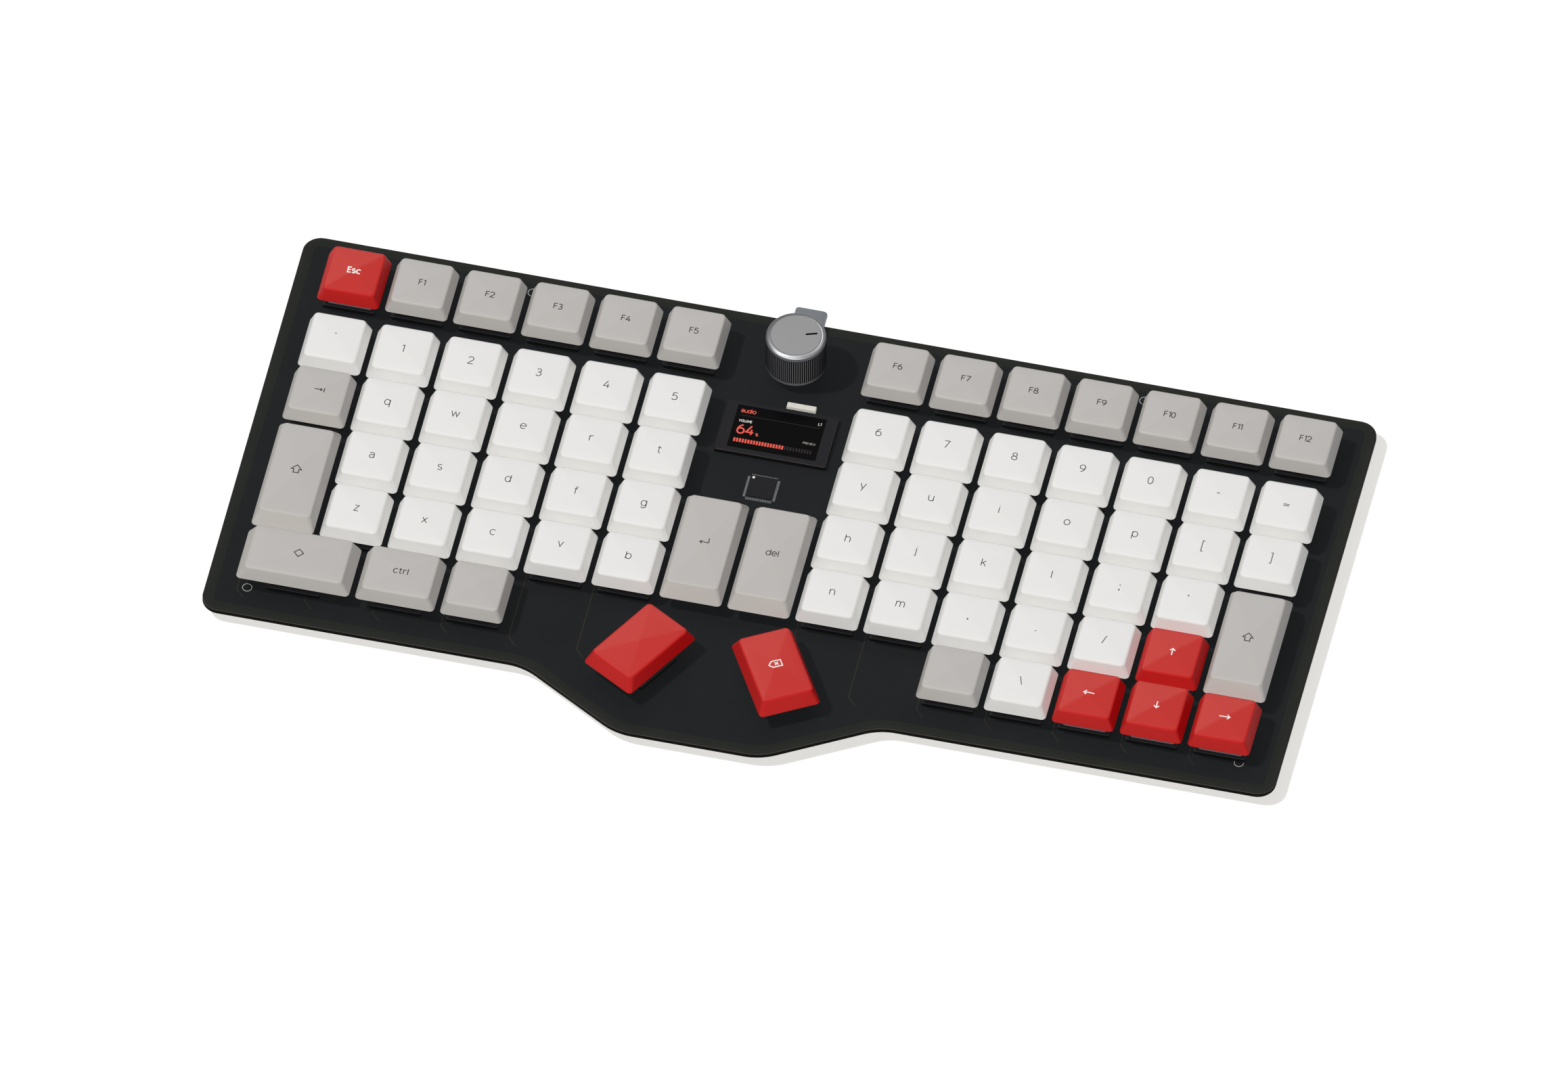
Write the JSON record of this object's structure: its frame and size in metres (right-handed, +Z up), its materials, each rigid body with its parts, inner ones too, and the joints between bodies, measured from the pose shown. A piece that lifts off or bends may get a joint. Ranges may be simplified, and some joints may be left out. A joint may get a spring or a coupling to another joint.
{
  "type": "ergonomic keyboard",
  "caption": "Split-layout ergonomic keyboard on one black circuit board with a bulged front edge, low-profile tapered keys, angled thumb keys, a ribbed knob and a small screen.",
  "frame": {"origin": "on the surface that the feet stand on, under the middle of the part's box", "axes": "+X to the typist's right along the rows, +Y away from the typist, +Z up"},
  "size_m": [0.3008, 0.1534, 0.0203],
  "materials": {
    "board": "matt black solder mask",
    "rubber": "matt",
    "switch_black": "satin",
    "display_black": "satin",
    "screen_glass": "dark glass over the lit panel",
    "connector_cream": "matt",
    "chip_black": "matt",
    "steel": "brushed",
    "knob_aluminium": "turned, dark ribbed side",
    "cap_white": "fine matt",
    "cap_grey": "fine matt",
    "cap_red": "fine matt"
  },
  "bodies": {
    "board": {"circuit_board": "board", "rubber_feet": "rubber", "switch_housings": "switch_black", "hotswap_sockets": "switch_black", "display_frame": "display_black", "display_screen": "screen_glass", "display_connector": "connector_cream", "microcontroller": "chip_black", "usb_shell": "steel", "usb_tongue": "switch_black", "encoder_body": "switch_black"},
    "knob_rotor": {"encoder_rotor": "switch_black"},
    "knob": {"encoder_shaft": "steel", "knob": "knob_aluminium"},
    "key_arrow_down": {"key_arrow_down": "cap_red"},
    "key_arrow_left": {"key_arrow_left": "cap_red"},
    "key_arrow_right": {"key_arrow_right": "cap_red"},
    "key_arrow_up": {"key_arrow_up": "cap_red"},
    "key_backquote": {"key_backquote": "cap_white"},
    "key_backslash": {"key_backslash": "cap_white"},
    "key_blank": {"key_blank": "cap_grey"},
    "key_command": {"key_command": "cap_grey"},
    "key_delete": {"key_delete": "cap_grey"},
    "key_enter": {"key_enter": "cap_grey"},
    "key_escape": {"key_escape": "cap_red"},
    "key_quote": {"key_quote": "cap_white"},
    "key_shift_left": {"key_shift_left": "cap_grey"},
    "key_shift_right": {"key_shift_right": "cap_grey"},
    "key_tab": {"key_tab": "cap_grey"},
    "key_thumb_left": {"key_thumb_left": "cap_red"},
    "key_thumb_right": {"key_thumb_right": "cap_red"},
    "keys_0_p": {"keys_0_p": "cap_white"},
    "keys_1_q": {"keys_1_q": "cap_white"},
    "keys_2_w": {"keys_2_w": "cap_white"},
    "keys_3_e": {"keys_3_e": "cap_white"},
    "keys_4_r": {"keys_4_r": "cap_white"},
    "keys_5_t": {"keys_5_t": "cap_white"},
    "keys_6_y": {"keys_6_y": "cap_white"},
    "keys_7_u": {"keys_7_u": "cap_white"},
    "keys_8_i": {"keys_8_i": "cap_white"},
    "keys_9_o": {"keys_9_o": "cap_white"},
    "keys_a_z": {"keys_a_z": "cap_white"},
    "keys_control_blank": {"keys_control_blank": "cap_grey"},
    "keys_d_c": {"keys_d_c": "cap_white"},
    "keys_equals_bracket_right": {"keys_equals_bracket_right": "cap_white"},
    "keys_f11_f12": {"keys_f11_f12": "cap_grey"},
    "keys_f1_f2": {"keys_f1_f2": "cap_grey"},
    "keys_f3_f4": {"keys_f3_f4": "cap_grey"},
    "keys_f5_f6": {"keys_f5_f6": "cap_grey"},
    "keys_f7_f8": {"keys_f7_f8": "cap_grey"},
    "keys_f9_f10": {"keys_f9_f10": "cap_grey"},
    "keys_f_v": {"keys_f_v": "cap_white"},
    "keys_g_b": {"keys_g_b": "cap_white"},
    "keys_h_n": {"keys_h_n": "cap_white"},
    "keys_j_m": {"keys_j_m": "cap_white"},
    "keys_k_comma": {"keys_k_comma": "cap_white"},
    "keys_l_period": {"keys_l_period": "cap_white"},
    "keys_minus_bracket_left": {"keys_minus_bracket_left": "cap_white"},
    "keys_s_x": {"keys_s_x": "cap_white"},
    "keys_semicolon_slash": {"keys_semicolon_slash": "cap_white"}
  },
  "joints": [
    {"name": "knob_turn", "type": "hinge", "parent": "board", "child": "knob_rotor", "pos_m": [-0.00953, 0.05751, 0.0051], "axis": [0, 0, 1], "continuous": true},
    {"name": "knob_press", "type": "slide", "parent": "knob_rotor", "child": "knob", "axis": [0, 0, -1], "range_m": [0, 0.0005], "stiffness_N_per_m": 600, "springref_m": -0.003},
    {"name": "press_arrow_down", "type": "slide", "parent": "board", "child": "key_arrow_down", "axis": [0, 0, -1], "range_m": [0, 0.0028], "stiffness_N_per_m": 120, "springref_m": -0.003},
    {"name": "press_arrow_left", "type": "slide", "parent": "board", "child": "key_arrow_left", "axis": [0, 0, -1], "range_m": [0, 0.0028], "stiffness_N_per_m": 120, "springref_m": -0.003},
    {"name": "press_arrow_right", "type": "slide", "parent": "board", "child": "key_arrow_right", "axis": [0, 0, -1], "range_m": [0, 0.0028], "stiffness_N_per_m": 120, "springref_m": -0.003},
    {"name": "press_arrow_up", "type": "slide", "parent": "board", "child": "key_arrow_up", "axis": [0, 0, -1], "range_m": [0, 0.0028], "stiffness_N_per_m": 120, "springref_m": -0.003},
    {"name": "press_backquote", "type": "slide", "parent": "board", "child": "key_backquote", "axis": [0, 0, -1], "range_m": [0, 0.0028], "stiffness_N_per_m": 120, "springref_m": -0.003},
    {"name": "press_backslash", "type": "slide", "parent": "board", "child": "key_backslash", "axis": [0, 0, -1], "range_m": [0, 0.0028], "stiffness_N_per_m": 120, "springref_m": -0.003},
    {"name": "press_blank", "type": "slide", "parent": "board", "child": "key_blank", "axis": [0, 0, -1], "range_m": [0, 0.0028], "stiffness_N_per_m": 120, "springref_m": -0.003},
    {"name": "press_command", "type": "slide", "parent": "board", "child": "key_command", "axis": [0, 0, -1], "range_m": [0, 0.0028], "stiffness_N_per_m": 120, "springref_m": -0.003},
    {"name": "press_delete", "type": "slide", "parent": "board", "child": "key_delete", "axis": [0, 0, -1], "range_m": [0, 0.0028], "stiffness_N_per_m": 120, "springref_m": -0.003},
    {"name": "press_enter", "type": "slide", "parent": "board", "child": "key_enter", "axis": [0, 0, -1], "range_m": [0, 0.0028], "stiffness_N_per_m": 120, "springref_m": -0.003},
    {"name": "press_escape", "type": "slide", "parent": "board", "child": "key_escape", "axis": [0, 0, -1], "range_m": [0, 0.0028], "stiffness_N_per_m": 120, "springref_m": -0.003},
    {"name": "press_quote", "type": "slide", "parent": "board", "child": "key_quote", "axis": [0, 0, -1], "range_m": [0, 0.0028], "stiffness_N_per_m": 120, "springref_m": -0.003},
    {"name": "press_shift_left", "type": "slide", "parent": "board", "child": "key_shift_left", "axis": [0, 0, -1], "range_m": [0, 0.0028], "stiffness_N_per_m": 120, "springref_m": -0.003},
    {"name": "press_shift_right", "type": "slide", "parent": "board", "child": "key_shift_right", "axis": [0, 0, -1], "range_m": [0, 0.0028], "stiffness_N_per_m": 120, "springref_m": -0.003},
    {"name": "press_tab", "type": "slide", "parent": "board", "child": "key_tab", "axis": [0, 0, -1], "range_m": [0, 0.0028], "stiffness_N_per_m": 120, "springref_m": -0.003},
    {"name": "press_thumb_left", "type": "slide", "parent": "board", "child": "key_thumb_left", "axis": [0, 0, -1], "range_m": [0, 0.0028], "stiffness_N_per_m": 120, "springref_m": -0.003},
    {"name": "press_thumb_right", "type": "slide", "parent": "board", "child": "key_thumb_right", "axis": [0, 0, -1], "range_m": [0, 0.0028], "stiffness_N_per_m": 120, "springref_m": -0.003},
    {"name": "press_0_p", "type": "slide", "parent": "board", "child": "keys_0_p", "axis": [0, 0, -1], "range_m": [0, 0.0028], "stiffness_N_per_m": 240, "springref_m": -0.003},
    {"name": "press_1_q", "type": "slide", "parent": "board", "child": "keys_1_q", "axis": [0, 0, -1], "range_m": [0, 0.0028], "stiffness_N_per_m": 240, "springref_m": -0.003},
    {"name": "press_2_w", "type": "slide", "parent": "board", "child": "keys_2_w", "axis": [0, 0, -1], "range_m": [0, 0.0028], "stiffness_N_per_m": 240, "springref_m": -0.003},
    {"name": "press_3_e", "type": "slide", "parent": "board", "child": "keys_3_e", "axis": [0, 0, -1], "range_m": [0, 0.0028], "stiffness_N_per_m": 240, "springref_m": -0.003},
    {"name": "press_4_r", "type": "slide", "parent": "board", "child": "keys_4_r", "axis": [0, 0, -1], "range_m": [0, 0.0028], "stiffness_N_per_m": 240, "springref_m": -0.003},
    {"name": "press_5_t", "type": "slide", "parent": "board", "child": "keys_5_t", "axis": [0, 0, -1], "range_m": [0, 0.0028], "stiffness_N_per_m": 240, "springref_m": -0.003},
    {"name": "press_6_y", "type": "slide", "parent": "board", "child": "keys_6_y", "axis": [0, 0, -1], "range_m": [0, 0.0028], "stiffness_N_per_m": 240, "springref_m": -0.003},
    {"name": "press_7_u", "type": "slide", "parent": "board", "child": "keys_7_u", "axis": [0, 0, -1], "range_m": [0, 0.0028], "stiffness_N_per_m": 240, "springref_m": -0.003},
    {"name": "press_8_i", "type": "slide", "parent": "board", "child": "keys_8_i", "axis": [0, 0, -1], "range_m": [0, 0.0028], "stiffness_N_per_m": 240, "springref_m": -0.003},
    {"name": "press_9_o", "type": "slide", "parent": "board", "child": "keys_9_o", "axis": [0, 0, -1], "range_m": [0, 0.0028], "stiffness_N_per_m": 240, "springref_m": -0.003},
    {"name": "press_a_z", "type": "slide", "parent": "board", "child": "keys_a_z", "axis": [0, 0, -1], "range_m": [0, 0.0028], "stiffness_N_per_m": 240, "springref_m": -0.003},
    {"name": "press_control_blank", "type": "slide", "parent": "board", "child": "keys_control_blank", "axis": [0, 0, -1], "range_m": [0, 0.0028], "stiffness_N_per_m": 240, "springref_m": -0.003},
    {"name": "press_d_c", "type": "slide", "parent": "board", "child": "keys_d_c", "axis": [0, 0, -1], "range_m": [0, 0.0028], "stiffness_N_per_m": 240, "springref_m": -0.003},
    {"name": "press_equals_bracket_right", "type": "slide", "parent": "board", "child": "keys_equals_bracket_right", "axis": [0, 0, -1], "range_m": [0, 0.0028], "stiffness_N_per_m": 240, "springref_m": -0.003},
    {"name": "press_f11_f12", "type": "slide", "parent": "board", "child": "keys_f11_f12", "axis": [0, 0, -1], "range_m": [0, 0.0028], "stiffness_N_per_m": 240, "springref_m": -0.003},
    {"name": "press_f1_f2", "type": "slide", "parent": "board", "child": "keys_f1_f2", "axis": [0, 0, -1], "range_m": [0, 0.0028], "stiffness_N_per_m": 240, "springref_m": -0.003},
    {"name": "press_f3_f4", "type": "slide", "parent": "board", "child": "keys_f3_f4", "axis": [0, 0, -1], "range_m": [0, 0.0028], "stiffness_N_per_m": 240, "springref_m": -0.003},
    {"name": "press_f5_f6", "type": "slide", "parent": "board", "child": "keys_f5_f6", "axis": [0, 0, -1], "range_m": [0, 0.0028], "stiffness_N_per_m": 240, "springref_m": -0.003},
    {"name": "press_f7_f8", "type": "slide", "parent": "board", "child": "keys_f7_f8", "axis": [0, 0, -1], "range_m": [0, 0.0028], "stiffness_N_per_m": 240, "springref_m": -0.003},
    {"name": "press_f9_f10", "type": "slide", "parent": "board", "child": "keys_f9_f10", "axis": [0, 0, -1], "range_m": [0, 0.0028], "stiffness_N_per_m": 240, "springref_m": -0.003},
    {"name": "press_f_v", "type": "slide", "parent": "board", "child": "keys_f_v", "axis": [0, 0, -1], "range_m": [0, 0.0028], "stiffness_N_per_m": 240, "springref_m": -0.003},
    {"name": "press_g_b", "type": "slide", "parent": "board", "child": "keys_g_b", "axis": [0, 0, -1], "range_m": [0, 0.0028], "stiffness_N_per_m": 240, "springref_m": -0.003},
    {"name": "press_h_n", "type": "slide", "parent": "board", "child": "keys_h_n", "axis": [0, 0, -1], "range_m": [0, 0.0028], "stiffness_N_per_m": 240, "springref_m": -0.003},
    {"name": "press_j_m", "type": "slide", "parent": "board", "child": "keys_j_m", "axis": [0, 0, -1], "range_m": [0, 0.0028], "stiffness_N_per_m": 240, "springref_m": -0.003},
    {"name": "press_k_comma", "type": "slide", "parent": "board", "child": "keys_k_comma", "axis": [0, 0, -1], "range_m": [0, 0.0028], "stiffness_N_per_m": 240, "springref_m": -0.003},
    {"name": "press_l_period", "type": "slide", "parent": "board", "child": "keys_l_period", "axis": [0, 0, -1], "range_m": [0, 0.0028], "stiffness_N_per_m": 240, "springref_m": -0.003},
    {"name": "press_minus_bracket_left", "type": "slide", "parent": "board", "child": "keys_minus_bracket_left", "axis": [0, 0, -1], "range_m": [0, 0.0028], "stiffness_N_per_m": 240, "springref_m": -0.003},
    {"name": "press_s_x", "type": "slide", "parent": "board", "child": "keys_s_x", "axis": [0, 0, -1], "range_m": [0, 0.0028], "stiffness_N_per_m": 240, "springref_m": -0.003},
    {"name": "press_semicolon_slash", "type": "slide", "parent": "board", "child": "keys_semicolon_slash", "axis": [0, 0, -1], "range_m": [0, 0.0028], "stiffness_N_per_m": 240, "springref_m": -0.003}
  ]
}
